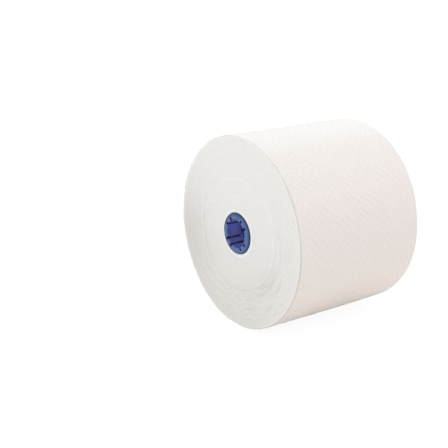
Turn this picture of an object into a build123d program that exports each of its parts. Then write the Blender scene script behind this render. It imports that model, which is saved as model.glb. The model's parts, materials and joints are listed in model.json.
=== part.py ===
from build123d import *
import math
import os

# Toilet paper roll with a moulded plug pressed into each end of its bore.
# The roll lies on its side, on the small flat spot that its own weight presses into the soft
# paper. Its axis runs along Y, with the front end at -Y, and the origin is on the floor below
# the middle of the roll. Lengths are in millimetres. Angles round the roll's axis are in
# degrees, from +X up towards +Z.

# Wound paper
roll_diameter = 124.0
sheet_width = 97.0
flat_spot_width = 12.0
edge_bevel = 0.9
bore_bevel = 0.5

# Groups of turns at the ends of the roll. The strip wandered from side to side while it was
# wound, so one group stands a little out and the next a little in, and the other way round at
# the far end. The tension ring is where the winding tension changed.
tension_ring_diameter = 71.0
groups_inside_ring = 4
groups_outside_ring = 6
ring_step = 0.3
group_wander = 0.24
wander_share = 0.3
wander_turn = 2.4
group_bevel = 0.4

# Free end of the last sheet
tail_thickness = 0.3
tail_angle = 165.0
envelope_margin = 0.15

# End plugs
plug_diameter = 26.4
plug_length = 28.0
plug_clearance = 0.05
plug_stand = 1.3
plug_lead = 0.6
skirt_wall = 1.3
rim_bevel = 0.6
crown_rise = 0.5
collar_depth = 11.7
spindle_bore_diameter = 18.0
mouth_bevel = 0.6

# Lugs of a plug: narrow fingers of its collar, each set free by a groove on either side. The
# grooves end before the collar does, and leave a closed ring at its back.
lug_count = 4
lug_angle = 29.0
lug_rise = 0.75
lug_bevel = 0.3
nose_bevel = 0.8
groove_width = 1.5
groove_floor = 2.1
groove_end = 10.5

# Worked out from the sizes above
roll_radius = roll_diameter / 2
axis_height = math.sqrt(roll_radius**2 - (flat_spot_width / 2) ** 2)
flat_half_angle = math.degrees(math.asin(flat_spot_width / 2 / roll_radius))
plug_radius = plug_diameter / 2
bore_radius = plug_radius + plug_clearance
ring_radius = tension_ring_diameter / 2
spindle_radius = spindle_bore_diameter / 2
groove_root_radius = plug_radius - groove_floor


def group_edges():
    """Radii of the edges of the groups of turns, from the bore to the outside."""
    inner_pitch = (ring_radius - bore_radius) / groups_inside_ring
    outer_pitch = (roll_radius - ring_radius) / groups_outside_ring
    inner = [bore_radius + i * inner_pitch for i in range(groups_inside_ring)]
    outer = [ring_radius + i * outer_pitch for i in range(groups_outside_ring)]
    return inner + outer + [roll_radius + tail_thickness + envelope_margin]


def side_shift(group):
    """How far a group of turns sits towards the back of the roll.

    Groups go out and in by turns, and no two go equally far.
    """
    size = group_wander * (1 - wander_share * math.sin(wander_turn * group))
    wander = size if group % 2 else -size
    if group < groups_inside_ring:
        return wander - ring_step
    return wander


def end_points(edges, y_end, inward):
    """Half section of one end of the roll as (radius, y), with a bevel between groups."""
    points = [(edges[0], y_end + side_shift(0) + inward * bore_bevel)]
    for group in range(len(edges) - 1):
        y = y_end + side_shift(group)
        first_inset = bore_bevel if group == 0 else group_bevel / 2
        last_inset = 0 if group == len(edges) - 2 else group_bevel / 2
        points.append((edges[group] + first_inset, y))
        points.append((edges[group + 1] - last_inset, y))
    return points


def turn_envelope():
    """Ring of all the turns, with stepped ends and bevelled outer edges."""
    edges = group_edges()
    front = end_points(edges, -sheet_width / 2, 1)
    back = end_points(edges, sheet_width / 2, -1)
    section = make_face(Polyline(*front, *reversed(back), close=True))
    corners = section.vertices().group_by(Axis.X)[-1]
    section = chamfer(corners, edge_bevel)
    return revolve(section, Axis.Y)


def polar(radius, angle):
    """Point of the roll's cross section, at a radius and an angle from its axis."""
    return (radius * math.cos(math.radians(angle)), radius * math.sin(math.radians(angle)))


def outline_prism():
    """The roll's outer outline, carried along its axis.

    The last quarter turn lies on a circle moved out towards the tail, so that it lifts off the
    turn below and ends there in a straight edge. The flat spot is the line at the bottom.
    """
    lift_angle = math.degrees(math.acos(tail_thickness / 2 / roll_radius))
    flat_start = 270 - flat_half_angle
    flat_end = flat_half_angle - 90
    lift_start = tail_angle - lift_angle
    tail_arc = 180 - lift_angle
    edges = [
        CenterArc((0, 0), roll_radius, flat_end, lift_start - flat_end),
        CenterArc(polar(tail_thickness, tail_angle), roll_radius, tail_angle - tail_arc, tail_arc),
        Line(polar(roll_radius + tail_thickness, tail_angle), polar(roll_radius, tail_angle)),
        CenterArc((0, 0), roll_radius, tail_angle, flat_start - tail_angle),
        Line(polar(roll_radius, flat_start), polar(roll_radius, flat_end)),
    ]
    outline = Plane.XZ * make_face(edges)
    return extrude(outline, amount=sheet_width, both=True)


def make_paper():
    """All the turns of the paper as one solid, lying on its flat spot."""
    return Pos(0, 0, axis_height) * (turn_envelope() & outline_prism())


def plug_body():
    """The plug without its lugs: a collar at the rim and a thinner skirt behind it.

    The rim's outer edge lies at y = 0. The rim rises from there in a shallow cone to the mouth of
    the spindle's bore, and the plug runs into the roll towards +Y.
    """
    skirt_radius = plug_radius - skirt_wall
    section = make_face(
        Polyline(
            (spindle_radius + mouth_bevel, -crown_rise),
            (plug_radius - rim_bevel, 0),
            (plug_radius, rim_bevel),
            (plug_radius, plug_length - plug_lead),
            (plug_radius - plug_lead, plug_length),
            (skirt_radius, plug_length),
            (skirt_radius, collar_depth),
            (spindle_radius, collar_depth),
            (spindle_radius, mouth_bevel - crown_rise),
            close=True,
        )
    )
    return revolve(section, Axis.Y)


def lug_angles():
    """Angle of the middle of each lug, half way between the broad lands of the collar."""
    pitch = 360 / lug_count
    return [pitch * (i + 0.5) for i in range(lug_count)]


def lug_tips():
    """Noses of the lugs, which stand out of the crown on the spindle's side."""
    tip = -lug_rise
    section = make_face(
        Polyline(
            (spindle_radius, collar_depth / 2),
            (spindle_radius, tip + nose_bevel),
            (spindle_radius + nose_bevel, tip),
            (groove_root_radius - lug_bevel, tip),
            (groove_root_radius, tip + lug_bevel),
            (groove_root_radius, collar_depth / 2),
            close=True,
        )
    )
    ring = revolve(section, Axis.Y)
    reach = 2 * plug_radius
    sectors = []
    for angle in lug_angles():
        start = polar(reach, angle - lug_angle / 2)
        end = polar(reach, angle + lug_angle / 2)
        wedge = Plane.XZ * make_face(Polyline((0, 0), start, end, close=True))
        sectors.append(ring & extrude(wedge, amount=collar_depth, both=True))
    return sectors


def grooves():
    """Slots down both sides of each lug, from the rim to the closed ring of the collar."""
    length = groove_root_radius - spindle_radius / 2
    cutter = Pos(groove_root_radius, groove_end, 0) * Box(
        length, 2 * groove_end, groove_width, align=(Align.MAX, Align.MAX, Align.CENTER)
    )
    cuts = []
    for angle in lug_angles():
        for side in (-1, 1):
            cuts.append(Rot(0, -(angle + side * lug_angle / 2), 0) * cutter)
    return cuts


def make_plug():
    """One end plug, with the outer edge of its rim at y = 0."""
    plug = plug_body()
    for tip in lug_tips():
        plug += tip
    for cut in grooves():
        plug -= cut
    return plug


def place_plug(plug, turn):
    """The plug in an end of the bore: 0 for the front end and 180 for the back end."""
    rim = Pos(0, -sheet_width / 2 - plug_stand, 0) * plug
    return Pos(0, 0, axis_height) * Rot(0, 0, turn) * rim


def main():
    """Write one file for each piece of the roll."""
    plug = make_plug()
    pieces = {
        "paper_roll": make_paper(),
        "front_plug": place_plug(plug, 0),
        "back_plug": place_plug(plug, 180),
    }
    os.makedirs("parts", exist_ok=True)
    for name, piece in pieces.items():
        export_step(piece, f"parts/{name}.step")


main()
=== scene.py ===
import json
import math

import bpy
import numpy as np
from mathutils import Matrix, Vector


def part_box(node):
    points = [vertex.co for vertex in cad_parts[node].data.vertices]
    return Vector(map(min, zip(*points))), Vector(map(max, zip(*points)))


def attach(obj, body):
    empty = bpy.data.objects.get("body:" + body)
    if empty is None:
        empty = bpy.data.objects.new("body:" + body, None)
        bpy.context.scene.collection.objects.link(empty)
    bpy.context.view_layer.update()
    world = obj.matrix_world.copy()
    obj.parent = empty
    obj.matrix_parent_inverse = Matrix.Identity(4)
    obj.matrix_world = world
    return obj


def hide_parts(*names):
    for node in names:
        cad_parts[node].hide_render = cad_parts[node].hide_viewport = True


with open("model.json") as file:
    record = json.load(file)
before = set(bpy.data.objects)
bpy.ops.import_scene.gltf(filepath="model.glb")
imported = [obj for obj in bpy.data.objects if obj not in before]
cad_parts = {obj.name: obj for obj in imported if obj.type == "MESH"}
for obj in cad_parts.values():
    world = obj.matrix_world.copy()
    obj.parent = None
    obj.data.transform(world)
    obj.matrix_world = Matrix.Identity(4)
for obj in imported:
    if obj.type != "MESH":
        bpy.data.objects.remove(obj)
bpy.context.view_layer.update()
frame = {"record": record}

# Looks of a toilet paper roll that lies on its side, with a moulded plug in each end.
# Shapes are worked out in millimetres and angles in radians, from +X up towards +Z round the
# roll's axis, which runs along Y. Each mesh is one closed surface over a grid of points.
# A side of the roll is written as its middle angle and its spread, a ring on its ends as its
# radius and its width, and what leans to one side as the angle where it is strongest and its
# least share opposite. What fades is written as where it begins and where it is complete.
MM_TO_M = 0.001
FULL_TURN = 2 * math.pi
QUARTER_TURN = math.pi / 2

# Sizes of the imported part
mounts = {mount["name"]: mount for mount in frame["record"]["mounts"]}
bore_mount = mounts["front_spindle_bore"]
axis_height = bore_mount["pos_m"][2] / MM_TO_M
spindle_radius = bore_mount["dims"]["r_mm"]
paper_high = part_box("paper_roll")[1]
plug_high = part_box("front_plug")[1]
roll_radius = paper_high.x / MM_TO_M
plug_radius = plug_high.x / MM_TO_M
plug_inner_end = plug_high.y / MM_TO_M

# Wound paper
sheet_width = 97.0
sheet_thickness = 0.3
plug_clearance = 0.05
turn_pitch = 1.15
tail_angle = math.radians(165)
bore_rounding = 0.5
end_rounding = 0.2
flat_melt = 0.15
half_width = sheet_width / 2
body_radius = roll_radius - sheet_thickness
bore_radius = plug_radius + plug_clearance

# Grid of the wound paper
body_columns = 240
rounding_rings = 5
face_rings = 188
bore_ring_y = (-2.0, 3 - half_width, 0.2 + bore_rounding - half_width)
outside_ring_y = (2 - half_width, -16.0)

# Seeds of the random draws. What is drawn on an end counts on from that end's own seed.
swell_seed = 11
front_seed = 21
back_seed = 22
last_turn_seed = 31
ridge_draws = 100
grain_draws = 200
proud_draws = 300
relief_draws = 400
tone_draws = 500

# Kinds of unevenness, each a sum of random waves: the fewest and the most waves round the roll,
# the shortest and the longest wave in the other direction, and how many waves are summed
swelling_waves = ((1, 5), (70, 200), 12)
ripple_waves = ((8, 22), (18, 50), 12)
crinkle_waves = ((10, 40), (10, 11), 12)
ridge_patch_waves = ((1, 6), (8, 24), 12)
grain_waves = ((14, 80), (2.2, 6.0), 30)
grain_patch_waves = ((1, 7), (12, 40), 12)
tilt_waves = ((1, 3), (50, 120), 12)
ring_fading_waves = ((2, 9), (10, 11), 12)
emboss_strength_waves = ((6, 26), (12, 50), 12)
emboss_stretch_waves = ((3, 16), (14, 60), 12)
cockle_waves = ((40, 120), (3.2, 7.0), 36)
free_edge_waves = ((1, 3), (14, 60), 12)
cut_edge_waves = ((2, 30), (9, 10), 12)

# Handling of the outside: swellings, shallow dents and one deeper dent at the far end
swelling_height = 0.07
ripple_height = 0.025
dent_count = 14
dent_places = (-44, 44)
dent_widths = (4, 11)
dent_depths = (0.06, 0.2)
dent_stretch = 1.4
far_dent_depth = 0.8
far_dent_side = np.radians((7, 20))

# Angles from straight down between which the unevenness fades in, so that it stays off the floor
floor_angles = (0.17, 0.5)

# Turns on the ends: how far they lie off centre and how crinkled they are, and the height of
# their ridges inside and outside the tension ring
off_centre = 0.3
out_of_round = 0.15
wobble_phases = (0, 6)
crinkle_height = 0.1
ridge_height = 0.006
outer_ridge_height = 0.022
ridge_overtone = 0.35
ridge_overtone_phase = 0.6
ridge_patch_range = (-0.5, 1.5)

# Groups of turns that wandered out and in: the length and the height of each wave across them,
# and the height of the slow waves in which the whole end tilts
group_waves = ((9.3, 0.02), (5.4, 0.02), (3.2, 0.014), (2.1, 0.01))
tilt_height = 0.05

# Tension ring, where the winding tension changed: a step, a thin ridge and a hollow beside it
ring_radius = 35.5
ring_step = 0.3
ring_step_range = (ring_radius - 0.3, ring_radius + 0.5)
ridge_ring = (ring_radius, 0.42)
ridge_ring_height = 0.15
ridge_ring_lean = (0.5 + QUARTER_TURN, 0.5)
hollow_ring = (ring_radius + 1.1, 0.6)
hollow_depth = 0.6 * ridge_ring_height
ridges_begin = (ring_radius - 1, ring_radius + 4)
grain_begins = (ring_radius - 4, ring_radius + 2)

# Ragged cut: its height, how it comes in patches (mean, spread, least and most) and how much
# smoother it is at the top of the roll
grain_height = 0.022
grain_patches = (0.75, 0.35, 0.2, 1.4)
smoother_share = 0.75
smoother_side = np.radians((95, 50))

# Groups of proud turns: middle angle and its spread in degrees, radius and its spread, number of
# arcs. Below them are the widths, heights and half lengths of the arcs, these in degrees.
proud_groups = (
    (177, 24, 36, 8, 44),
    (268, 22, 48, 11, 44),
    (352, 26, 41, 7, 28),
    (308, 14, 44, 9, 20),
    (222, 16, 42, 9, 20),
    (90, 70, 40, 18, 12),
)
arc_widths = (0.28, 0.45)
arc_heights = (0.12, 0.26)
arc_reaches = (2.5, 8)

# Tone and painted light of the ends. The lines at the tension ring, a painted highlight and a
# painted shade, fade by a mean, a spread, a least and a most.
ring_fading = (0.65, 0.4, 0.15, 1)
ring_painted_highlight = (ring_radius, 0.55)
ring_painted_highlight_side = (math.radians(70), 0.3)
ring_painted_shade = (ring_radius + 1.5, 0.9)
ring_painted_shade_side = (math.radians(230), 0.0)
light_edge = (roll_radius - 2.6, roll_radius - 1.4)
# Painted light from above on the ends
painted_top_light_angle = math.radians(97)
painted_top_light_at_axis = 0.4
grey_patch_ring = (39, 8)
grey_patch_side = np.radians((312, 38))
# Painted shade on the left of the ends: its angle, its sharpness and the radii where it grows
left_shade_angle = math.radians(195)
left_shade_sharpness = 8
left_shade_radii = (0.3 * roll_radius, 0.95 * roll_radius)

# Weights of what makes an end lighter or darker: painted light and shade, and the paper's own tone
ring_painted_highlight_weight = 1.0
ring_painted_shade_weight = -0.5
proud_painted_light_weight = 2.6
edge_tone = 0.4
painted_top_light_weight = 0.6
grey_patch_tone = -0.4
grain_tone = 0.12

# Last turn. Its front edge hangs loose on the right, and the turns below it draw in there.
last_half_width = half_width + 0.05
lip_thickness = 0.28
lip_reach = 2.6
lip_inset = 0.12
loose_gap = 1.5
loose_side = np.radians((5, 45))
drawn_in_turns = 3.5
drawn_in_edge = 0.6
cut_edge_wavering = 0.06
cut_edge_reach = 12

# Rings of each lip: how far below the outside and how far in from the cut edge they lie
lip_rings = ((0.03, 0.03), (0.12, 0), (lip_thickness, 0.06), (lip_thickness, 1.3))

# Free edge of the last turn: its undercut and wavering in radians, where they and the curl begin
# in shares of the way round, and how high it curls
tail_undercut = 0.004
tail_foot = 0.02
free_edge_wavering = 0.006
free_edge_pitch = 60
free_edge_begins = (0.985, 1)
covered_edge_ends = (0, 0.01)
curl_begins = (0.988, 1)
curl_height = 0.16
curl_wave_height = 0.1
curl_wave_pitch = 11
curl_corner_height = 0.12

# Embossing of the sheet: dots round the roll and across it, and how they are pressed. Their
# strength has a mean, a spread, a least and a most.
emboss_round = 76
emboss_across = 18
samples_per_emboss = 8
emboss_depth = 0.26
emboss_level = 0.6
emboss_at_floor = 0.5
emboss_strength = (0.22, 0.26, 0.05, 0.8)
emboss_stretch = 0.16
cockle_share = 0.45

# Plugs. Depths run from the outer edge of a plug's rim into the roll.
plug_stand = 1.3
rim_y = -half_width - plug_stand
plug_length = plug_inner_end - rim_y
crown_rise = 0.5
crown_top = spindle_radius + 0.6
crown_foot = plug_radius - 0.6
rim_rounding = 0.6
collar_depth = 11.7
skirt_radius = plug_radius - 1.3
groove_end = 10.5
groove_root = plug_radius - 2.1
groove_half_width = 0.75
corner_rounding = 0.45
root_rounding = 0.25
groove_mouth = 0.3
land_mouth = 0.6
lug_mouth = 1.0
lug_rise = 0.75
lug_flute = 0.25
lug_half_angle = math.radians(14.5)
lug_middles = np.radians([45, 135, 225, 315])
nose_edge = (groove_root - 0.6, groove_root + 0.15)

# Grid of a plug: points round its parts, and where its rings lie
lug_points = 15
land_points = 29
corner_points = 6
groove_wall_points = 5
rim_corner_rings = 6
mouth_corner_rings = 7
rim_ring_offsets = (1.2, 0.9, 0.7, 0.5)
crown_ring_insets = (-0.2, -0.05, 0.1, 0.25, 0.4, 0.6)
ring_gap = 0.01
mouth_ring_shares = (0.35, 0.7)
collar_ring_shares = (0.03, 0.1, 0.25, 0.4, 0.55, 0.7, 0.85, 0.98)
groove_floor_rings = ((0.05, 0), (0.95, 0.03), (1, 0.06))
collar_back_rings = ((0, 0.5), (0, 0.2), (0.06, 0.06), (0.2, 0))
inner_wall_depths = (14.0, 20.0)
outer_wall_depths = (14.0, 3.0, 1.15, 0.95, 0.75)

# Rings at the skirt's corners: how far out and further in they lie, from the skirt's radius at
# the collar's back, from the same radius at the plug's inner end, and from the plug's radius there
skirt_start_rings = ((-0.25, 0), (-0.08, 0.05), (0, 0.25))
skirt_end_rings = ((0, -0.4), (0.1, -0.1), (0.35, 0))
plug_end_rings = ((-0.6, 0), (-0.45, -0.12), (-0.02, -0.75), (0, -1.2))

# Where the tints of a plug begin and end. They are painted light and shade: a highlight on the
# lugs' noses and along the grooves' edges, shade in the grooves and a shadow in their notches at
# the mouth, the bore paler than the rim, and shade along the rim's edge with a shadow on its wall.
collar_reach = groove_root + 0.05
nose_painted_highlight_depths = (-0.5, 0.2)
nose_painted_highlight_radii = (10.0, 10.8)
groove_painted_shade_depths = (-0.8, -0.1)
groove_painted_shade_shares = (0.5, 1)
groove_edge_depths = (0.2, 1.2)
groove_edge_shares = (0.3, 0.35)
notch_painted_shadow_depths = (1.2, 2.6)
notch_painted_shadow_shares = (0.3, 0.8)
bore_painted_light_depths = (0, 2.5)
rim_painted_shade_depth = 0.45
wall_painted_shadow_depths = (0.25, 0.6)
wall_painted_shadow_end = 5
wall_painted_shadow_radius = plug_radius - 0.3
wall_painted_shadow_share = 0.9

# Painted shade in dark bands along a rim's edge: a broad one, which is strongest on the left, and
# a narrow one
broad_painted_shade_band = (plug_radius - 2.2, plug_radius - 1.6)
broad_band_share = 0.32
broad_band_lean = 0.58
narrow_painted_shade_band = (plug_radius - 0.9, plug_radius - 0.6)
narrow_band_share = 0.6

# Heights over the floor, depths and radii between which one colour changes into the next. All
# these changes are painted light and shade: the paper's tints by height, a highlight beside the
# plug, a paler violet deep in the bore and shade behind the collar.
painted_low_cream_heights = (30, 68)
painted_upper_ivory_heights = (94, 110)
painted_top_white_heights = (116.5, 123.8)
end_painted_low_cream_heights = (30, 60)
plug_painted_highlight_radii = (bore_radius + 1.9, bore_radius + 2.7)
painted_violet_depths = (2.5, 6.5)
painted_shade_behind_collar_depths = (collar_depth - 1.5, collar_depth - 0.9)

# Heights of the finest relief, which is in the materials
crepe_relief = 0.05
sheet_fibre_relief = 0.04
streak_relief = 0.04
end_fibre_relief = 0.06
grain_relief = 0.01

# Camera: its lens, its place from the middle of the roll in roll radii, and its heading
focal_length = 70.80
film_width = 36.0
camera_place = (6.819, -5.890, 2.720)
camera_heading = (-0.7743, 0.5605, -0.2940)
view_reach = 100.0

# Stage, in metres and watts: floor, world, and each soft lamp's name, place, width and power
floor_reach = 20.0
floor_white = 0.94
seen_floor_white = 0.14
seen_floor_glow = 0.92
world_strength = 0.695
lamp_target = (0, 0, 0.06)
lamps = (
    ("window", (0.02, 0.80, 1.30), 1.0, 7.5),
    ("fill", (0.10, -1.30, 0.81), 1.0, 2.4),
    ("low_fill", (1.35, -0.70, 0.09), 0.6, 1.2),
    ("overhead", (0, 0, 1.56), 1.2, 2.2),
)


def smooth_step(value, low, high):
    """0 below low and 1 above high. Between them, 3 times the share's square less 2 cubes."""
    share = np.clip((value - low) / (high - low), 0, 1)
    return share * share * (3 - 2 * share)


def falling(value, low, high):
    """1 below low and 0 above high: 1 less the smooth step."""
    return 1 - smooth_step(value, low, high)


def bump(value, middle, width):
    """Bell curve of height 1: e to the minus square of the distance from the middle in widths."""
    return np.exp(-(((value - middle) / width) ** 2))


def turned(theta, middle):
    """Angle from the middle, the short way round: the rest that whole turns leave."""
    return (theta - middle + math.pi) % FULL_TURN - math.pi


def side_bump(theta, middle, spread):
    """Bell curve of the angle from the middle, the short way round."""
    return bump(turned(theta, middle), 0, spread)


def towards(theta, middle, least=0.0):
    """1 at the middle angle and least opposite to it: a cosine that swings between the two."""
    return least + (1 - least) * (0.5 + 0.5 * np.cos(theta - middle))


def unevenness(rng, theta, along, waves):
    """Sum of sine waves of one kind, divided by the root of half their number.

    That makes its mean square 1. Each wave has a random whole count round the roll, a random
    length along it, which slants it one way or the other, and a random phase.
    """
    (fewest, most), lengths, terms = waves
    total = np.zeros(np.broadcast(theta, along).shape)
    for _ in range(terms):
        count = rng.integers(fewest, most + 1)
        length = rng.uniform(*lengths) * rng.choice((-1, 1))
        phase = rng.uniform(0, FULL_TURN)
        total += np.sin(count * theta + FULL_TURN * along / length + phase)
    return total / math.sqrt(terms / 2)


def patchy(rng, theta, along, waves, mean, spread, least, most):
    """Strength that comes and goes: a mean plus a spread of random waves, kept within limits."""
    return np.clip(mean + spread * unevenness(rng, theta, along, waves), least, most)


def side_by_side(*parts):
    """Arrays spread over one grid, side by side in a last axis."""
    return np.stack(np.broadcast_arrays(*parts), axis=-1)


def round_axis(radius, theta, y):
    """Points round the roll's axis: the radius times the cosine is x, and times the sine is z."""
    return side_by_side(radius * np.cos(theta), y, radius * np.sin(theta) + axis_height)


def closed_surface(name, points, uv, materials, material_index=0, marks=None):
    """Mesh of a grid of points (rows, columns, 3) in millimetres, joined up both ways round.

    The face at (i, j) has the corners (i, j), (i, j + 1), (i + 1, j + 1) and (i + 1, j). uv has a
    row and a column more than points, so that no face runs back across the whole map. marks are
    values for each point, which the materials read.
    """
    rows, columns = points.shape[:2]
    row, column = np.meshgrid(np.arange(rows), np.arange(columns), indexing="ij")
    steps = ((0, 0), (0, 1), (1, 1), (1, 0))
    corners = [((row + i) % rows) * columns + (column + j) % columns for i, j in steps]
    faces = np.stack(corners, axis=-1).reshape(-1, 4)
    mesh = bpy.data.meshes.new(name)
    mesh.from_pydata(points.reshape(-1, 3) * MM_TO_M, [], faces)
    layer = mesh.uv_layers.new(name="wound")
    corner_uv = np.stack([uv[row + i, column + j] for i, j in steps], axis=2)
    layer.data.foreach_set("uv", (corner_uv * MM_TO_M).astype(np.float32).ravel())
    for key, values in (marks or {}).items():
        attribute = mesh.attributes.new(key, "FLOAT", "POINT")
        attribute.data.foreach_set("value", values.astype(np.float32).ravel())
    indices = np.broadcast_to(material_index, (rows, columns)).astype(np.int32)
    mesh.polygons.foreach_set("material_index", indices.ravel())
    mesh.polygons.foreach_set("use_smooth", np.ones(rows * columns, dtype=bool))
    for material in materials:
        mesh.materials.append(material)
    mesh.update()
    piece = bpy.data.objects.new(name, mesh)
    bpy.context.scene.collection.objects.link(piece)
    return piece


def finish_piece(piece, node):
    """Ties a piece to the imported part, whose node it stands for."""
    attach(piece, "root")
    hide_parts(node)
    return piece


# Outline of the wound paper

def outline(theta):
    """Radius of the roll: the nearer of the circle and the flat spot's line.

    The line is the axis's height over the sine of the way down, and twice that height at most.
    Where both are about as far from the axis they melt together: the logarithm of 1 plus e to the
    minus of their distance is taken off, in units of the melt.
    """
    line = axis_height / np.maximum(-np.sin(theta), 0.5)
    nearer = np.minimum(line, roll_radius)
    further = np.maximum(line, roll_radius)
    return nearer - flat_melt * np.log1p(np.exp((nearer - further) / flat_melt))


def off_floor(theta):
    """0 over the flat spot and 1 clear of it: a smooth step of the angle from straight down."""
    return smooth_step(np.abs(turned(theta, -QUARTER_TURN)), *floor_angles)


def swell(theta, y):
    """Soft unevenness of the outside from handling, which fades out towards the floor.

    It is broad and medium random waves, less bell-shaped dents: shallow ones in random places,
    and a deeper one that grows from the middle of the roll to the far end.
    """
    rng = np.random.default_rng(swell_seed)
    broad = swelling_height * unevenness(rng, theta, y, swelling_waves)
    medium = ripple_height * unevenness(rng, theta, y, ripple_waves)
    dents = 0
    for _ in range(dent_count):
        middle = rng.uniform(0, FULL_TURN)
        place = rng.uniform(*dent_places)
        width = rng.uniform(*dent_widths)
        depth = rng.uniform(*dent_depths)
        along = bump(y, place, width * dent_stretch)
        dents = dents + depth * side_bump(theta, middle, width / roll_radius) * along
    far_dent = far_dent_depth * side_bump(theta, *far_dent_side)
    far_dent = far_dent * smooth_step(y, 0, half_width)
    return (broad + medium - dents - far_dent) * off_floor(theta)


def tail_lift(theta, on_last_half):
    """Rise of the last quarter turn to the free edge: a sheet's thickness times the cosine."""
    lift = sheet_thickness * np.maximum(np.cos(theta - tail_angle), 0)
    return np.where(on_last_half, lift, 0)


# Cut ends of the wound paper

def wound_radius(seed, radius, theta):
    """Radius as the turns have it: they lie a little off centre, out of round and crinkled.

    It adds a sine of the angle, a sine of twice the angle, and random waves.
    """
    rng = np.random.default_rng(seed)
    wobble = off_centre * np.sin(theta + rng.uniform(*wobble_phases))
    wobble = wobble + out_of_round * np.sin(2 * theta + rng.uniform(*wobble_phases))
    return radius + wobble + crinkle_height * unevenness(rng, theta, 0.0, crinkle_waves)


def turn_ridges(seed, radius, theta):
    """Edges of single turns: a cosine along one spiral, with an overtone.

    They are low inside the tension ring, and higher outside it in soft patches.
    """
    rng = np.random.default_rng(seed + ridge_draws)
    phase = FULL_TURN * (radius / turn_pitch) - theta
    ridge = np.cos(phase) + ridge_overtone * np.cos(2 * phase + ridge_overtone_phase)
    outside = smooth_step(radius, *ridges_begin)
    patches = unevenness(rng, theta, radius, ridge_patch_waves)
    patches = smooth_step(patches, *ridge_patch_range)
    return ridge * (ridge_height + outer_ridge_height * outside * patches)


def cut_grain(seed, radius, theta):
    """Ragged cut outside the tension ring, about -2 to 2: short slanting ridges and hollows.

    Random waves are multiplied by slow patches, by a bell curve that makes them fainter at the
    top of the roll, and by a smooth step at the ring.
    """
    rng = np.random.default_rng(seed + grain_draws)
    grain = unevenness(rng, theta, radius, grain_waves)
    patches = patchy(rng, theta, radius, grain_patch_waves, *grain_patches)
    rougher = 1 - smoother_share * side_bump(theta, *smoother_side)
    return grain * patches * rougher * smooth_step(radius, *grain_begins)


def proud_turns(seed, radius, theta):
    """Short arcs of single turns that stand out or in a little, and fade along the turn.

    An arc is a bell curve of the radius times one of the angle. The arcs lie in a few groups:
    each group has a middle angle and radius, and a spread of both.
    """
    rng = np.random.default_rng(seed + proud_draws)
    total = 0
    for angle, angle_spread, place, place_spread, count in proud_groups:
        for _ in range(count):
            middle = math.radians(angle + angle_spread * rng.uniform(-1, 1))
            arc_radius = place + place_spread * rng.uniform(-1, 1)
            width = rng.uniform(*arc_widths)
            height = rng.uniform(*arc_heights) * rng.choice((-1, 1))
            reach = math.radians(rng.uniform(*arc_reaches))
            arc = bump(radius, arc_radius, width) * side_bump(theta, middle, reach)
            total = total + height * arc
    return total


def end_relief(seed, inner_zone, radius, theta):
    """How far the turns stand out of an end's mean plane, as a sum.

    It adds the zone inside the tension ring, the ring's own ridge and hollow, groups of turns
    that wandered out and in as sines of the radius, ridges of turns, single proud turns, a slow
    tilt and the ragged grain.
    """
    rng = np.random.default_rng(seed + relief_draws)
    wound = wound_radius(seed, radius, theta)
    zone = inner_zone * falling(wound, *ring_step_range)
    ridge = ridge_ring_height * bump(wound, *ridge_ring) * towards(theta, *ridge_ring_lean)
    hollow = hollow_depth * bump(wound, *hollow_ring)
    groups = 0
    for length, height in group_waves:
        phase = rng.uniform(0, FULL_TURN)
        groups = groups + height * np.sin(FULL_TURN * wound / length + phase)
    tilt = tilt_height * unevenness(rng, theta, radius, tilt_waves)
    turns = turn_ridges(seed, wound, theta) + proud_turns(seed, wound, theta)
    grain = grain_height * cut_grain(seed, radius, theta)
    return zone + ridge - hollow + groups + tilt + turns + grain


def end_tone_and_painted_light(seed, radius, theta):
    """Lightness of an end's paper, -1 to 1, as a weighted sum.

    The tension ring, the turns that stand out, the outer edge and the upper part are light. The
    line outside the ring, the turns that stand in and a patch low on the right are dark. The
    ring's lines, the turns and the upper part are painted light and shade: a highlight on the ring
    towards the upper right, shade outside it towards the lower left, lit and shaded turns and
    light from above. The ring's two lines fade and come back along their way round.
    """
    rng = np.random.default_rng(seed + tone_draws)
    wound = wound_radius(seed, radius, theta)
    # Painted highlight on the tension ring and painted shade just outside it
    light = bump(wound, *ring_painted_highlight) * towards(theta, *ring_painted_highlight_side)
    dark = bump(wound, *ring_painted_shade) * towards(theta, *ring_painted_shade_side)
    fading = patchy(rng, theta, 0.0, ring_fading_waves, *ring_fading)
    lines = (ring_painted_highlight_weight * light + ring_painted_shade_weight * dark) * fading
    # Painted light and shade on the turns that stand out and in
    lines = lines + proud_painted_light_weight * proud_turns(seed, wound, theta)
    edge = smooth_step(radius, *light_edge)
    # Painted light from above, growing outwards
    outwards = painted_top_light_at_axis + (1 - painted_top_light_at_axis) * radius / roll_radius
    upper = outwards * np.maximum(np.cos(theta - painted_top_light_angle), 0)
    grey_patch = bump(radius, *grey_patch_ring) * side_bump(theta, *grey_patch_side)
    slow = edge_tone * edge + painted_top_light_weight * upper + grey_patch_tone * grey_patch
    return np.clip(lines + slow + grain_tone * cut_grain(seed, radius, theta), -1, 1)


def end_left_painted_shade(radius, theta):
    """Share of painted shade, 0 to 1, on the left.

    It is a high power of a cosine round the roll, and grows outwards by a smooth step.
    """
    return towards(theta, left_shade_angle) ** left_shade_sharpness * smooth_step(radius, *left_shade_radii)


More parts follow.
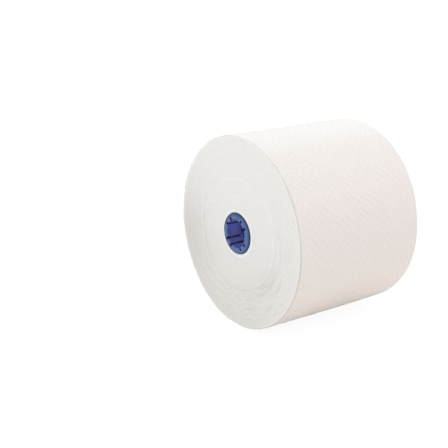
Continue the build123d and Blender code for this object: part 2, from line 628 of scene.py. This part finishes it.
def body_profile():
    """Half section of the wound paper as a closed run of (radius, y, end) from the bore's middle.

    It goes along the bore to the front, out over the front end, back along the outside, in over
    the back end and along the bore again. end is -1 on the front end, 1 on the back and 0 else.
    The corners are quarter circles: 1 less the cosine one way, and 1 less the sine the other.
    """
    corner = np.linspace(0, QUARTER_TURN, rounding_rings)
    leaving = 1 - np.cos(corner)
    arriving = 1 - np.sin(corner)
    face = np.linspace(bore_radius + bore_rounding, body_radius - end_rounding, face_rings)[1:-1]
    runs = (
        (bore_radius, np.array(bore_ring_y), 0),
        (bore_radius + bore_rounding * leaving, -half_width + bore_rounding * arriving, 1),
        (face, -half_width, 1),
        (body_radius - end_rounding * arriving, -half_width + end_rounding * leaving, 1),
        (body_radius, np.array(outside_ring_y), 0),
    )
    radius, y, on_end = np.concatenate([side_by_side(*run) for run in runs]).T
    return (
        np.concatenate((radius, radius[::-1])),
        np.concatenate((y, -y[::-1])),
        np.concatenate((-on_end, on_end[::-1])),
    )


def looseness(theta):
    """Gap below the last turn's edge at the front: a bell curve round the right side."""
    return loose_gap * side_bump(theta, *loose_side)


def make_body(sheet, cut_end):
    """All the turns but the last as one surface.

    A point of the half section goes round the axis. Its radius follows the outline, the tail's
    lift and the swellings by a share that is the square of its place from the bore out, and its
    y is moved by the end's relief. At the front the edge draws in below the loose last turn.
    """
    theta = (np.arange(body_columns) * FULL_TURN / body_columns)[:, None]
    radius, y, end = (values[None, :] for values in body_profile())
    share = ((radius - bore_radius) / (body_radius - bore_radius)) ** 2
    lift = tail_lift(theta, turned(theta, tail_angle) < 0)
    pushed = (outline(theta) - roll_radius + lift + swell(theta, y)) * share
    near_lip = smooth_step(radius, body_radius - drawn_in_turns, body_radius)
    near_lip = near_lip * smooth_step(-y, half_width - lip_reach, half_width - drawn_in_edge)
    front = np.where(end < 0, end_relief(front_seed, ring_step, radius, theta), 0)
    back = np.where(end > 0, end_relief(back_seed, -ring_step, radius, theta), 0)
    points = round_axis(radius + pushed - looseness(theta) * near_lip, theta, y - front + back)
    round_uv = np.append(theta, FULL_TURN)[:, None] * roll_radius
    uv = side_by_side(round_uv, np.append(radius, radius[0, 0]))
    front_tone = end_tone_and_painted_light(front_seed, radius, theta)
    # Marks of the ends: painted light and shade with the paper's own tone, and painted shade on
    # the left
    marks = {
        "tone": np.where(end < 0, front_tone, end_tone_and_painted_light(back_seed, radius, theta)),
        "left_painted_shade": end_left_painted_shade(radius, theta),
    }
    index = np.where(end == 0, 0, 1)
    piece = closed_surface("wound_paper", points, uv, [sheet, cut_end], index, marks)
    return finish_piece(piece, "paper_roll")


# Last turn of the sheet

def embossing(rng, share, across, theta, y):
    """Pressed pattern of the sheet, about -1 to 1, on the grid of the last turn's outside.

    Dots in slanting rows, two cosines multiplied, are stretched and weakened unevenly, and mixed
    with a random cockle whose waves are about as long as the dots.
    """
    strength = patchy(rng, theta, y, emboss_strength_waves, *emboss_strength)
    stretch = emboss_stretch * unevenness(rng, theta, y, emboss_stretch_waves)
    round_wave = np.cos(FULL_TURN * (emboss_round * share + stretch))
    across_wave = np.cos(FULL_TURN * (emboss_across * across - stretch))
    cockle = unevenness(rng, theta, y, cockle_waves)
    return round_wave * across_wave * strength + cockle_share * cockle


def tail_curl(share, y):
    """Rise of the free edge: a smooth step of the way round times how much its places curl.

    That is a height, a sine along the edge and the square of y, so that the corners curl most.
    """
    wave = curl_wave_height * np.sin(y / curl_wave_pitch)
    corners = curl_corner_height * (y / last_half_width) ** 2
    return smooth_step(share, *curl_begins) * (curl_height + wave + corners)


def closed_strip(outer, outer_theta, theta, outer_y):
    """Radius, angle and y of the whole last turn, once round its section.

    The outside comes first, then the rings of the back lip, the inner side, which lies hidden two
    sheets deep in the turns below, and the rings of the front lip.
    """
    below = np.array([ring[0] for ring in lip_rings])
    lip_y = last_half_width - np.array([ring[1] for ring in lip_rings])
    inner_y = (last_half_width - lip_reach) * np.array([1, 0, -1])
    inner_radius = outline(theta) - 2 * sheet_thickness
    radii = (
        outer,
        outer[:, -1:] - below,
        np.repeat(inner_radius, inner_y.size, axis=1),
        outer[:, :1] - below[::-1],
    )
    angles = (
        outer_theta,
        np.repeat(outer_theta[:, -1:], below.size, axis=1),
        np.repeat(theta, inner_y.size, axis=1),
        np.repeat(outer_theta[:, :1], below.size, axis=1),
    )
    y = np.concatenate((outer_y[0], lip_y, inner_y, -lip_y[::-1]))
    return np.hstack(radii), np.hstack(angles), y


def wavering_edges(rng, theta, y):
    """y with both cut edges of the last turn moved out and in by random waves round the roll."""
    front_out = cut_edge_wavering * unevenness(rng, theta, theta, cut_edge_waves)
    back_out = cut_edge_wavering * unevenness(rng, theta, theta, cut_edge_waves)
    near_front = smooth_step(-y, last_half_width - cut_edge_reach, last_half_width)
    near_back = smooth_step(y, last_half_width - cut_edge_reach, last_half_width)
    return y - front_out * near_front + back_out * near_back


def make_last_turn(sheet):
    """The last turn of the sheet, from the edge that it covers round to its own free edge.

    The outside's radius is the outline with the swellings and the pressed pattern, plus the
    tail's lift and curl. Its last row steps down to the turn below. Both edges at the tail waver
    by random waves across the sheet.
    """
    rng = np.random.default_rng(last_turn_seed)
    rows = emboss_round * samples_per_emboss
    share = np.append(np.arange(rows + 1) / rows, 1.0)[:, None]
    theta = tail_angle + FULL_TURN * share
    theta[-1] -= tail_undercut
    across = np.linspace(0, 1, emboss_across * samples_per_emboss + 1)[None, :]
    outer_y = (across - 0.5) * 2 * (last_half_width - lip_inset)
    wavering = unevenness(rng, outer_y / free_edge_pitch, outer_y, free_edge_waves)
    at_edges = smooth_step(share, *free_edge_begins) + falling(share, *covered_edge_ends)
    outer_theta = theta + free_edge_wavering * wavering * at_edges
    dots = embossing(rng, share, across, theta, outer_y)
    firm = emboss_at_floor + (1 - emboss_at_floor) * off_floor(theta)
    pressed = emboss_depth * (0.5 * dots - emboss_level) * firm
    level = outline(theta) + swell(theta, outer_y) + pressed
    outer = level + tail_lift(theta, share > 0.5) + tail_curl(share, outer_y)
    outer[-1] = level[-1] - tail_foot
    radius, angle, y = closed_strip(outer, outer_theta, theta, outer_y)
    y = wavering_edges(rng, theta, y)
    points = round_axis(radius, angle, y)
    round_uv = np.append(share, 1.0)[:, None] * FULL_TURN * roll_radius
    middle_row = y[len(theta) // 2]
    uv = side_by_side(round_uv, np.append(middle_row, middle_row[0]))
    dots_mark = np.zeros(radius.shape)
    dots_mark[:, : dots.shape[1]] = dots
    piece = closed_surface("last_turn", points, uv, [sheet], marks={"dots": dots_mark})
    return finish_piece(piece, "paper_roll")


# Plugs

def collar_outline():
    """Inner outline of a plug's collar, once round: (points, normals, lug share, groove share).

    Broad lands and narrow lugs lie on the spindle's circle, with a groove on both sides of each
    lug, and a lug is hollowed a little along its middle. Normals point into the plastic.
    """
    runs = []
    step = math.asin((groove_half_width + corner_rounding) / spindle_radius)
    for middle in lug_middles:
        first = middle - lug_half_angle
        second = middle + lug_half_angle
        runs.append(groove_outline(first, (0, 1)))
        runs.append(circle_arc(first + step, second - step, lug_points, 1))
        runs.append(groove_outline(second, (1, 0)))
        runs.append(circle_arc(second + step, first + QUARTER_TURN - step, land_points, 0))
    return [np.concatenate(parts) for parts in zip(*runs)]


def circle_arc(start, end, count, lug):
    """Part of the spindle's circle between two grooves, without its two end points.

    On a lug the radius grows by the flute's depth times a squared sine.
    """
    share = np.linspace(0, 1, count)[1:-1]
    angle = start + (end - start) * share
    away = np.stack((np.cos(angle), np.sin(angle)), axis=-1)
    radius = spindle_radius + lug * lug_flute * np.sin(math.pi * share) ** 2
    return radius[:, None] * away, away, np.full(share.size, float(lug)), np.zeros(share.size)


def groove_outline(place, lug_sides):
    """A groove's outline from side to side: rounded corner, wall, root, wall, rounded corner.

    A row holds the place outwards and across, the normal's two parts and the groove share. The
    half on one side is quarter circles and a line, and the other half is its mirror image.
    """
    quarter = np.linspace(0, QUARTER_TURN, corner_points)
    half_mouth = groove_half_width + corner_rounding
    base = math.sqrt(spindle_radius**2 - half_mouth**2)
    corner = side_by_side(
        base + corner_rounding * (1 - np.cos(quarter)),
        -groove_half_width - corner_rounding * (1 - np.sin(quarter)),
        np.cos(quarter),
        -np.sin(quarter),
        quarter / QUARTER_TURN,
    )
    wall_end = groove_root - root_rounding
    wall_place = np.linspace(base + corner_rounding, wall_end, groove_wall_points)[1:-1]
    wall = side_by_side(wall_place, -groove_half_width, 0, -1, 1)
    root = side_by_side(
        wall_end + root_rounding * np.sin(quarter),
        -groove_half_width + root_rounding * (1 - np.cos(quarter)),
        np.sin(quarter),
        -np.cos(quarter),
        1,
    )
    half = np.concatenate((corner, wall, root))
    floor = np.array([[groove_root, 0, 1, 0, 1]])
    run = np.concatenate((half, floor, half[::-1] * (1, -1, 1, -1, 1)))
    outward = np.array((math.cos(place), math.sin(place)))
    along = np.array((-math.sin(place), math.cos(place)))
    points = run[:, :1] * outward + run[:, 1:2] * along
    normals = run[:, 2:3] * outward + run[:, 3:4] * along
    lug = np.where(run[:, 1] < 0, lug_sides[0], lug_sides[1]).astype(float)
    return points, normals, lug, run[:, 4]


def from_axis(flat):
    """Distance of points (..., 2) from the plug's axis: the root of the sum of the squares."""
    return np.hypot(flat[..., 0], flat[..., 1])


def rim_height(radius, lug):
    """Height of the rim over its outer edge: a dome, with the lugs' noses on its inside.

    The dome is 1 less the square of the place from its top to its foot. A nose is level, and
    comes down to the dome by a smooth step of the radius.
    """
    share = np.clip((radius - crown_top) / (crown_foot - crown_top), 0, 1)
    dome = crown_rise * (1 - share * share)
    return dome + (lug_rise - dome) * lug * falling(radius, *nose_edge)


def rim_stations(away, mouth, lug):
    """From the outer wall over the rounded edge and the dome to the edge of the mouth.

    A station is a ring of points and its depth, one for all or one for each point. The edge is a
    quarter circle. Rings that would cross the mouth's edge stay just outside it, and the last
    ones are shares of the way from there to the mouth.
    """
    mouth_radius = from_axis(mouth)
    stations = []
    for turn in np.linspace(0, QUARTER_TURN, rim_corner_rings):
        radius = plug_radius - rim_rounding * (1 - math.cos(turn))
        stations.append((radius * away, rim_rounding * (1 - math.sin(turn))))
    for offset in rim_ring_offsets:
        radius = groove_root + offset
        stations.append((radius * away, -rim_height(radius, lug)))
    for inset in crown_ring_insets:
        radius = np.maximum(groove_root - inset, mouth_radius + ring_gap * (1 - inset))
        stations.append((radius[:, None] * away, -rim_height(radius, lug)))
    last = radius[:, None] * away
    for share in mouth_ring_shares:
        point = last + (mouth - last) * share
        stations.append((point, -rim_height(from_axis(point), lug)))
    return stations


def bore_stations(inner, normal, away, lug, groove):
    """From the mouth's edge round its corner, down the collar and out to the skirt.

    The mouth's corner is a quarter ellipse, narrow at a groove and wider at a land or a lug.
    Where the grooves end, the rings go out to the spindle's circle.
    """
    widening = (land_mouth + (lug_mouth - land_mouth) * lug - groove_mouth) * (1 - groove)
    mouth_step = groove_mouth * normal + widening[:, None] * away
    mouth_depth = groove_mouth + widening
    mouth = inner + mouth_step
    top = -rim_height(from_axis(mouth), lug)
    stations = rim_stations(away, mouth, lug)
    for turn in np.linspace(0, QUARTER_TURN, mouth_corner_rings):
        depth = top + mouth_depth * (1 - math.cos(turn))
        stations.append((inner + (1 - math.sin(turn)) * mouth_step, depth))
    start = top + mouth_depth
    for share in collar_ring_shares:
        stations.append((inner, start + (groove_end - start) * share))
    circle = spindle_radius * away
    for share, further in groove_floor_rings:
        stations.append((inner + (circle - inner) * share, groove_end + further))
    for widened, before in collar_back_rings:
        stations.append(((spindle_radius + widened) * away, collar_depth - before))
    return stations


def skirt_stations(away):
    """From the back of the collar along the skirt, over its end and back along the outer wall.

    The profile is straight lines, with a few rings close together at each corner.
    """
    walls = (
        *((skirt_radius + out, collar_depth + further) for out, further in skirt_start_rings),
        *((skirt_radius, depth) for depth in inner_wall_depths),
        *((skirt_radius + out, plug_length + further) for out, further in skirt_end_rings),
        *((plug_radius + out, plug_length + further) for out, further in plug_end_rings),
        *((plug_radius, depth) for depth in outer_wall_depths),
    )
    return [(radius * away, depth) for radius, depth in walls]


def plug_grid():
    """Points (stations, columns, 2) of a plug and their depths, lug shares and groove shares.

    Columns go once round the collar's inner outline. Stations go from the outer wall over the rim
    to the mouth, down the bore, out to the skirt, along it, over its end and back.
    """
    inner, normal, lug, groove = collar_outline()
    away = inner / from_axis(inner)[:, None]
    stations = bore_stations(inner, normal, away, lug, groove) + skirt_stations(away)
    flat = np.stack([station[0] for station in stations])
    depth = np.stack([np.broadcast_to(station[1], lug.size) for station in stations])
    return flat, depth, lug, groove


def painted_rim_shade_band(flat, radius):
    """Share of the dark bands along the rim's edge, both smooth steps of the radius.

    The narrow one goes all round. The broad one grows towards the left with the cosine. Both are
    painted shade.
    """
    right = flat[..., 0] / radius
    broad = smooth_step(radius, *broad_painted_shade_band) * (broad_band_share - broad_band_lean * right)
    narrow = narrow_band_share * smooth_step(radius, *narrow_painted_shade_band)
    return np.clip(np.maximum(broad, 0) + narrow, 0, 1)


def plug_marks(flat, depth, lug, groove):
    """Where a plug's tints lie: products of smooth steps of depth, radius and groove share."""
    radius = from_axis(flat)
    collar = (radius < collar_reach) * (depth < groove_end)
    nose = falling(depth, *nose_painted_highlight_depths) * falling(radius, *nose_painted_highlight_radii)
    root = smooth_step(groove, *groove_painted_shade_shares) * smooth_step(depth, *groove_painted_shade_depths)
    edge = bump(groove, *groove_edge_shares) * (groove > 0)
    dark = smooth_step(groove, *notch_painted_shadow_shares) * falling(depth, *notch_painted_shadow_depths)
    # Painted shadow on the outer wall, next to the paper
    wall = (depth < wall_painted_shadow_end) * (radius > wall_painted_shadow_radius)
    wall = wall_painted_shadow_share * smooth_step(depth, *wall_painted_shadow_depths) * wall
    return {
        # Painted highlight on the lugs' noses
        "nose": lug * collar * nose,
        # Painted shade in the grooves
        "groove": collar * root,
        # Painted highlight along the grooves' edges
        "painted_groove_highlight": collar * smooth_step(depth, *groove_edge_depths) * edge,
        # Painted shade along the rim's edge, and painted shadow on its wall
        "painted_rim_shade": painted_rim_shade_band(flat, radius) * (depth < rim_painted_shade_depth) + wall,
        # Painted shadow in the grooves' notches at the mouth
        "groove_mouth": collar * dark,
        # The bore's mark blends in its paler blue, which is painted light
        "bore": collar * smooth_step(depth, *bore_painted_light_depths) + 1.0 * (depth >= groove_end),
    }


def make_plug(name, node, side, plastic):
    """One end plug: side is -1 for the front one and 1 for the back one.

    The front one is the plug's grid with its depths from the rim into the roll. For the back one
    x and y change their signs, which turns it half round the upright axis.
    """
    flat, depth, lug, groove = plug_grid()
    x = -side * flat[..., 0]
    y = -side * (rim_y + depth)
    z = flat[..., 1] + axis_height
    columns = depth.shape[1]
    round_uv = np.linspace(0, FULL_TURN * plug_radius, columns + 1)
    path = np.append(depth[:, 0], depth[0, 0])[:, None]
    uv = side_by_side(round_uv, path)
    marks = plug_marks(flat, depth, lug, groove)
    piece = closed_surface(name, side_by_side(x, y, z), uv, [plastic], marks=marks)
    return finish_piece(piece, node)


# Materials

class Shader:
    """Nodes of a new material or world, which are added one by one and joined as they are."""

    def __init__(self, owner):
        """Clears the owner's tree."""
        owner.use_nodes = True
        self.owner = owner
        self.tree = owner.node_tree
        self.tree.nodes.clear()

    def node(self, kind, values=None, **settings):
        """Adds a node. values gives its inputs, each a value or another node's output."""
        node = self.tree.nodes.new("ShaderNode" + kind)
        for key, value in settings.items():
            setattr(node, key, value)
        for key, value in (values or {}).items():
            if isinstance(value, bpy.types.NodeSocket):
                self.tree.links.new(value, node.inputs[key])
            else:
                node.inputs[key].default_value = value
        return node

    def add(self, kind, values=None, **settings):
        """Adds a node and gives its first output."""
        return self.node(kind, values, **settings).outputs[0]

    def math(self, operation, first, second=0.0):
        """Result of one number or two."""
        return self.add("Math", {0: first, 1: second}, operation=operation)

    def place(self):
        """Place on the piece, in metres."""
        return self.node("TexCoord").outputs["Object"]

    def wound_map(self):
        """The piece's own map: the way round the roll, and the way across or the radius."""
        return self.add("UVMap", uv_map="wound")

    def mark(self, name):
        """One of the piece's marks, which its mesh carries."""
        return self.node("Attribute", attribute_name=name).outputs["Fac"]

    def parts(self, vector):
        """The three parts of a vector."""
        return self.node("SeparateXYZ", {0: vector}).outputs

    def noise(self, vector, scale, detail):
        """Noise between 0 and 1, from its waves for each metre and its finer waves."""
        return self.add("TexNoise", {"Vector": vector, "Scale": scale, "Detail": detail})

    def spread(self, value, low, high, new_low=0.0, new_high=1.0):
        """The value's range from low to high becomes new_low to new_high, and stays inside it."""
        values = {"Value": value, 1: low, 2: high, 3: new_low, 4: new_high}
        return self.add("MapRange", values)

    def above(self, length, sizes):
        """0 to 1 while a length in metres grows from one size in millimetres to another."""
        return self.spread(length, *(size * MM_TO_M for size in sizes))

    def below(self, length, sizes):
        """1 to 0 while a length in metres grows from one size in millimetres to another."""
        return self.spread(length, *(size * MM_TO_M for size in sizes), 1.0, 0.0)

    def mix(self, share, first, second, blend="MIX"):
        """Blend of two colours."""
        values = {0: share, 6: first, 7: second}
        return self.node("Mix", values, data_type="RGBA", blend_type=blend).outputs[2]

    def shaded(self, base, level):
        """A colour times a grey."""
        return self.mix(1.0, base, grey(level), "MULTIPLY")

    def bump(self, height, relief, normal=None):
        """Normal of a relief in millimetres whose height goes from 0 to 1."""
        values = {"Height": height, "Strength": 1.0, "Distance": relief * MM_TO_M}
        if normal is not None:
            values["Normal"] = normal
        return self.add("Bump", values)

    def surface(self, base, roughness, specular, normal, sheen=0.0):
        """Joins a Principled shader with these inputs to the output."""
        values = {
            "Base Color": base,
            "Roughness": roughness,
            "Specular IOR Level": specular,
            "Sheen Weight": sheen,
            "Normal": normal,
        }
        self.node("OutputMaterial", {"Surface": self.add("BsdfPrincipled", values)})
        return self.owner


def new_material(name):
    """Shader of a new material."""
    return Shader(bpy.data.materials.new(name))


def colour(red, green, blue):
    """A solid colour, from its linear red, green and blue."""
    return (red, green, blue, 1.0)


def grey(level):
    """A grey, from black at 0 to white at 1."""
    return colour(level, level, level)


# Whites of the sheet's outside. The cream low down, the ivory above it and the white along the
# top are painted light, blended in by height.
rose_white = colour(0.908, 0.837, 0.812)
warm_white = colour(0.900, 0.846, 0.822)
painted_low_cream = colour(0.888, 0.822, 0.764)
painted_upper_ivory = colour(0.866, 0.829, 0.800)
painted_top_white = colour(0.897, 0.888, 0.876)

# Whites of the cut ends. The cream low down, the shade on the left and the bluish white by the
# plug are painted light and shade, and so is most of the light and dark that the tone mark brings.
end_grey = colour(0.873, 0.866, 0.840)
end_white = colour(0.897, 0.892, 0.872)
end_painted_low_cream = colour(0.892, 0.862, 0.830)
left_painted_shade_colour = colour(0.755, 0.722, 0.697)
tone_and_painted_light_white = colour(0.955, 0.940, 0.905)
tone_and_painted_shade_grey = colour(0.740, 0.715, 0.680)
plug_painted_highlight_white = colour(0.975, 0.995, 1.0)

# Blues of the plugs: two for the rim, two for the bore and one for each other place. The bore's
# paler blues and violet are painted light, and the skirt blue and the tints below are painted
# highlight and shade.
rim_blues = (colour(0.062, 0.124, 0.330), colour(0.094, 0.176, 0.412))
painted_light_bore_blues = (colour(0.135, 0.165, 0.600), colour(0.175, 0.190, 0.660))
painted_light_violet = colour(0.265, 0.280, 0.760)
painted_shade_skirt_blue = colour(0.150, 0.190, 0.720)
plug_painted_tints = (
    # Painted shade in the grooves
    ("groove", colour(0.150, 0.165, 0.330)),
    # Painted shadow in the grooves' notches at the mouth
    ("groove_mouth", colour(0.022, 0.030, 0.120)),
    # Painted highlight along the grooves' edges
    ("painted_groove_highlight", colour(0.330, 0.240, 0.520)),
    # Painted highlight on the lugs' noses
    ("nose", colour(0.150, 0.165, 0.430)),
    # Painted shade along the rims' edges
    ("painted_rim_shade", colour(0.018, 0.036, 0.088)),
)

# Noises: waves for each metre, and finer waves on top of them
sheet_clouds = (22.0, 2.0)
sheet_mottle = (520.0, 3.0)
sheet_fibres = (2600.0, 4.0)
end_mottle = (640.0, 3.0)
end_fibres = (2200.0, 4.0)
plastic_clouds = (260.0, 3.0)
plastic_grain = (5200.0, 2.0)

# Noises drawn out one way: crepe lines along the roll's axis, and streaks along its turns
crepe_scale = (2600.0, 420.0, 1.0)
crepe_finer_waves = 3.0
fine_streaks = (2300.0, 3.0, 3.0)
broad_streaks = (420.0, 1.6, 2.0)

# Parts of a noise's range that are spread out, for a strong and for a softer contrast
strong_contrast = (0.35, 0.65)
soft_contrast = (0.3, 0.7)

# Painted shade in the hollows of the sheet's pressed dots, and a mottle of tone: weights of its
# dots and its mottle, the range of their sum, and how dark it makes the paper. The ends have a
# mottle alone.
dots_painted_shade = -0.8
mottle_tones = (-0.5, 0.7)
shaded_tones = (-1.0, 1.3)
sheet_shade = 0.94
end_shade = 0.965

# Finish of the sheet, the cut ends and the plastic
sheet_roughness = (0.86, 0.96)
sheet_specular = 0.15
sheet_sheen = 0.05
end_roughness = 0.95
end_specular = 0.1
plastic_roughness = (0.36, 0.46)
plastic_specular = 0.35


def embossed_sheet():
    """Outside of the sheet: crepe lines across it, soft fibres, pressed dots and slow tints.

    By height it goes from cream near the floor through a rosy white and ivory to a clean white
    along the top, which is painted light. The pressed dots get painted shade in their hollows,
    and with a fine mottle of tone, added up, they shade it by a few per cent.
    """
    shader = new_material("embossed_tissue")
    place = shader.place()
    height = shader.parts(place)[2]
    stretched = {"Vector": shader.wound_map(), "Scale": crepe_scale}
    crepe = shader.noise(shader.add("Mapping", stretched), 1.0, crepe_finer_waves)
    fibres = shader.noise(place, *sheet_fibres)
    tint = shader.spread(shader.noise(place, *sheet_clouds), *strong_contrast)
    base = shader.mix(tint, rose_white, warm_white)
    # Painted light by height: cream near the floor, ivory higher up and white along the top
    base = shader.mix(shader.below(height, painted_low_cream_heights), base, painted_low_cream)
    base = shader.mix(shader.above(height, painted_upper_ivory_heights), base, painted_upper_ivory)
    base = shader.mix(shader.above(height, painted_top_white_heights), base, painted_top_white)
    mottle = shader.spread(shader.noise(place, *sheet_mottle), *soft_contrast, *mottle_tones)
    # Painted shade in the hollows of the pressed dots
    pressed = shader.math("MULTIPLY", shader.mark("dots"), dots_painted_shade)
    marked = shader.spread(shader.math("ADD", pressed, mottle), *shaded_tones)
    base = shader.mix(marked, base, shader.shaded(base, sheet_shade))
    normal = shader.bump(fibres, sheet_fibre_relief, shader.bump(crepe, crepe_relief))
    roughness = shader.spread(fibres, *soft_contrast, *sheet_roughness)
    return shader.surface(base, roughness, sheet_specular, normal, sheet_sheen)


def turn_lines(shader, radius, direction, fineness, breaks, detail):
    """Noise drawn out along the turns: it changes fast with the radius and slowly round them."""
    place = shader.add(
        "CombineXYZ",
        {
            0: shader.math("MULTIPLY", radius, fineness),
            1: shader.math("MULTIPLY", direction[0], breaks),
            2: shader.math("MULTIPLY", direction[2], breaks),
        },
    )
    return shader.noise(place, 1.0, detail)


def cut_turns():
    """Cut ends of the turns: fine lines along the turns, loose fibres and faint tone changes.

    Broad lines blend two whites, with cream near the floor as painted light. Over them come
    painted shade on the left, a fine mottle, the lighter and darker turns, which are mostly
    painted light and shade, and a clean white ring beside the plug, which is a painted highlight.
    """
    shader = new_material("cut_tissue")
    place = shader.place()
    height = shader.parts(place)[2]
    to_axis = {"Vector": place, "Location": (0.0, 0.0, -axis_height * MM_TO_M)}
    centred = shader.add("Mapping", {**to_axis, "Scale": (1.0, 0.0, 1.0)})
    direction = shader.parts(shader.add("VectorMath", {0: centred}, operation="NORMALIZE"))
    radius = shader.parts(shader.wound_map())[1]
    streaks = turn_lines(shader, radius, direction, *fine_streaks)
    broad = turn_lines(shader, radius, direction, *broad_streaks)
    base = shader.mix(shader.spread(broad, *strong_contrast), end_grey, end_white)
    # Painted light: cream towards the floor
    base = shader.mix(shader.below(height, end_painted_low_cream_heights), base, end_painted_low_cream)
    # Painted shade on the left
    base = shader.mix(shader.mark("left_painted_shade"), base, left_painted_shade_colour)
    mottle = shader.spread(shader.noise(place, *end_mottle), *strong_contrast)
    base = shader.mix(mottle, shader.shaded(base, end_shade), base)
    # Painted light and shade of the turns, mixed with the paper's own tone
    tone = shader.mark("tone")
    base = shader.mix(shader.spread(tone, 0.0, 1.0), base, tone_and_painted_light_white)
    base = shader.mix(shader.spread(tone, -1.0, 0.0, 1.0, 0.0), base, tone_and_painted_shade_grey)
    # Painted highlight: a bluish white ring beside the plug
    base = shader.mix(shader.below(radius, plug_painted_highlight_radii), base, plug_painted_highlight_white)
    fibres = shader.noise(place, *end_fibres)
    normal = shader.bump(fibres, end_fibre_relief, shader.bump(streaks, streak_relief))
    return shader.surface(base, end_roughness, end_specular, normal)


def moulded_plastic():
    """Blue polypropylene: satin, with a fine moulding grain.

    Slow clouds blend two blues on the rim and two paler ones in the bore, which turns paler and
    more violet further in: painted light. Behind the collar the skirt has a darker blue of painted
    shade, and the marked places have blues of their own that are painted highlight and shade.
    """
    shader = new_material("blue_polypropylene")
    place = shader.place()
    to_middle = shader.math("ABSOLUTE", shader.parts(place)[1])
    depth = shader.math("SUBTRACT", -rim_y * MM_TO_M, to_middle)
    cloud = shader.spread(shader.noise(place, *plastic_clouds), *soft_contrast)
    rim_blue = shader.mix(cloud, *rim_blues)
    # Painted light: the bore paler than the rim, and more violet further in
    painted_light_bore_blue = shader.mix(cloud, *painted_light_bore_blues)
    painted_light_bore_blue = shader.mix(shader.above(depth, painted_violet_depths), painted_light_bore_blue, painted_light_violet)
    base = shader.mix(shader.mark("bore"), rim_blue, painted_light_bore_blue)
    # Painted shade behind the collar: a darker blue on the skirt
    base = shader.mix(shader.above(depth, painted_shade_behind_collar_depths), base, painted_shade_skirt_blue)
    # Painted highlight and shade at the marked places
    for name, tint in plug_painted_tints:
        base = shader.mix(shader.mark(name), base, tint)
    roughness = shader.spread(cloud, 0.0, 1.0, *plastic_roughness)
    normal = shader.bump(shader.noise(place, *plastic_grain), grain_relief)
    return shader.surface(base, roughness, plastic_specular, normal)


# Stage

def background_rays(shader):
    """1 for a ray that shows the background, and else 0: the largest of three marks of the ray.

    Such a ray comes from the camera, off a gloss or through a clear part.
    """
    path = shader.node("LightPath").outputs
    share = path["Is Camera Ray"]
    for kind in ("Is Glossy Ray", "Is Transmission Ray"):
        share = shader.math("MAXIMUM", share, path[kind])
    return share


def make_floor():
    """Large white floor. As background it is near white, and it keeps the roll's soft shadow."""
    mesh = bpy.data.meshes.new("floor")
    signs = ((-1, -1), (1, -1), (1, 1), (-1, 1))
    corners = [(x * floor_reach, y * floor_reach, 0) for x, y in signs]
    mesh.from_pydata(corners, [], [(0, 1, 2, 3)])
    shader = new_material("floor_white")
    matt = shader.add("BsdfDiffuse", {"Color": grey(floor_white)})
    pale = shader.add("BsdfDiffuse", {"Color": grey(seen_floor_white)})
    glow = shader.add("Emission", {"Color": grey(1), "Strength": seen_floor_glow})
    seen = shader.add("AddShader", {0: pale, 1: glow})
    mixed = shader.add("MixShader", {0: background_rays(shader), 1: matt, 2: seen})
    shader.node("OutputMaterial", {"Surface": mixed})
    mesh.materials.append(shader.owner)
    floor = bpy.data.objects.new("floor", mesh)
    bpy.context.scene.collection.objects.link(floor)


def make_world():
    """White all round: full strength as background, and weaker where it lights the roll."""
    world = bpy.data.worlds.new("studio")
    bpy.context.scene.world = world
    shader = Shader(world)
    light = shader.add("Background", {"Color": grey(1), "Strength": world_strength})
    seen = shader.add("Background", {"Color": grey(1), "Strength": 1.0})
    mixed = shader.add("MixShader", {0: background_rays(shader), 1: light, 2: seen})
    shader.node("OutputWorld", {"Surface": mixed})


def aim(thing, heading):
    """Turns a lamp or a camera so that it looks along a heading, with its top up."""
    thing.rotation_euler = Vector(heading).to_track_quat("-Z", "Y").to_euler()


def make_lamp(name, place, width, power):
    """Soft square lamp that looks at the middle of the roll."""
    lamp = bpy.data.lights.new(name, "AREA")
    lamp.shape = "SQUARE"
    lamp.size = width
    lamp.energy = power
    light = bpy.data.objects.new(name, lamp)
    light.location = place
    aim(light, Vector(lamp_target) - Vector(place))
    bpy.context.scene.collection.objects.link(light)


def make_camera():
    """Camera of the photograph, level from side to side and pointed down at the roll."""
    lens = bpy.data.cameras.new("camera")
    lens.lens = focal_length
    lens.sensor_width = film_width
    lens.clip_end = view_reach
    camera = bpy.data.objects.new("camera", lens)
    middle = Vector((0, 0, axis_height * MM_TO_M))
    camera.location = middle + Vector(camera_place) * roll_radius * MM_TO_M
    aim(camera, camera_heading)
    bpy.context.scene.collection.objects.link(camera)
    bpy.context.scene.camera = camera


make_camera()
make_world()
for lamp_values in lamps:
    make_lamp(*lamp_values)
make_floor()
sheet_material = embossed_sheet()
cut_material = cut_turns()
plastic_material = moulded_plastic()
make_body(sheet_material, cut_material)
make_last_turn(sheet_material)
make_plug("front_end_plug", "front_plug", -1, plastic_material)
make_plug("back_end_plug", "back_plug", 1, plastic_material)
bpy.context.scene.view_settings.view_transform = "Standard"
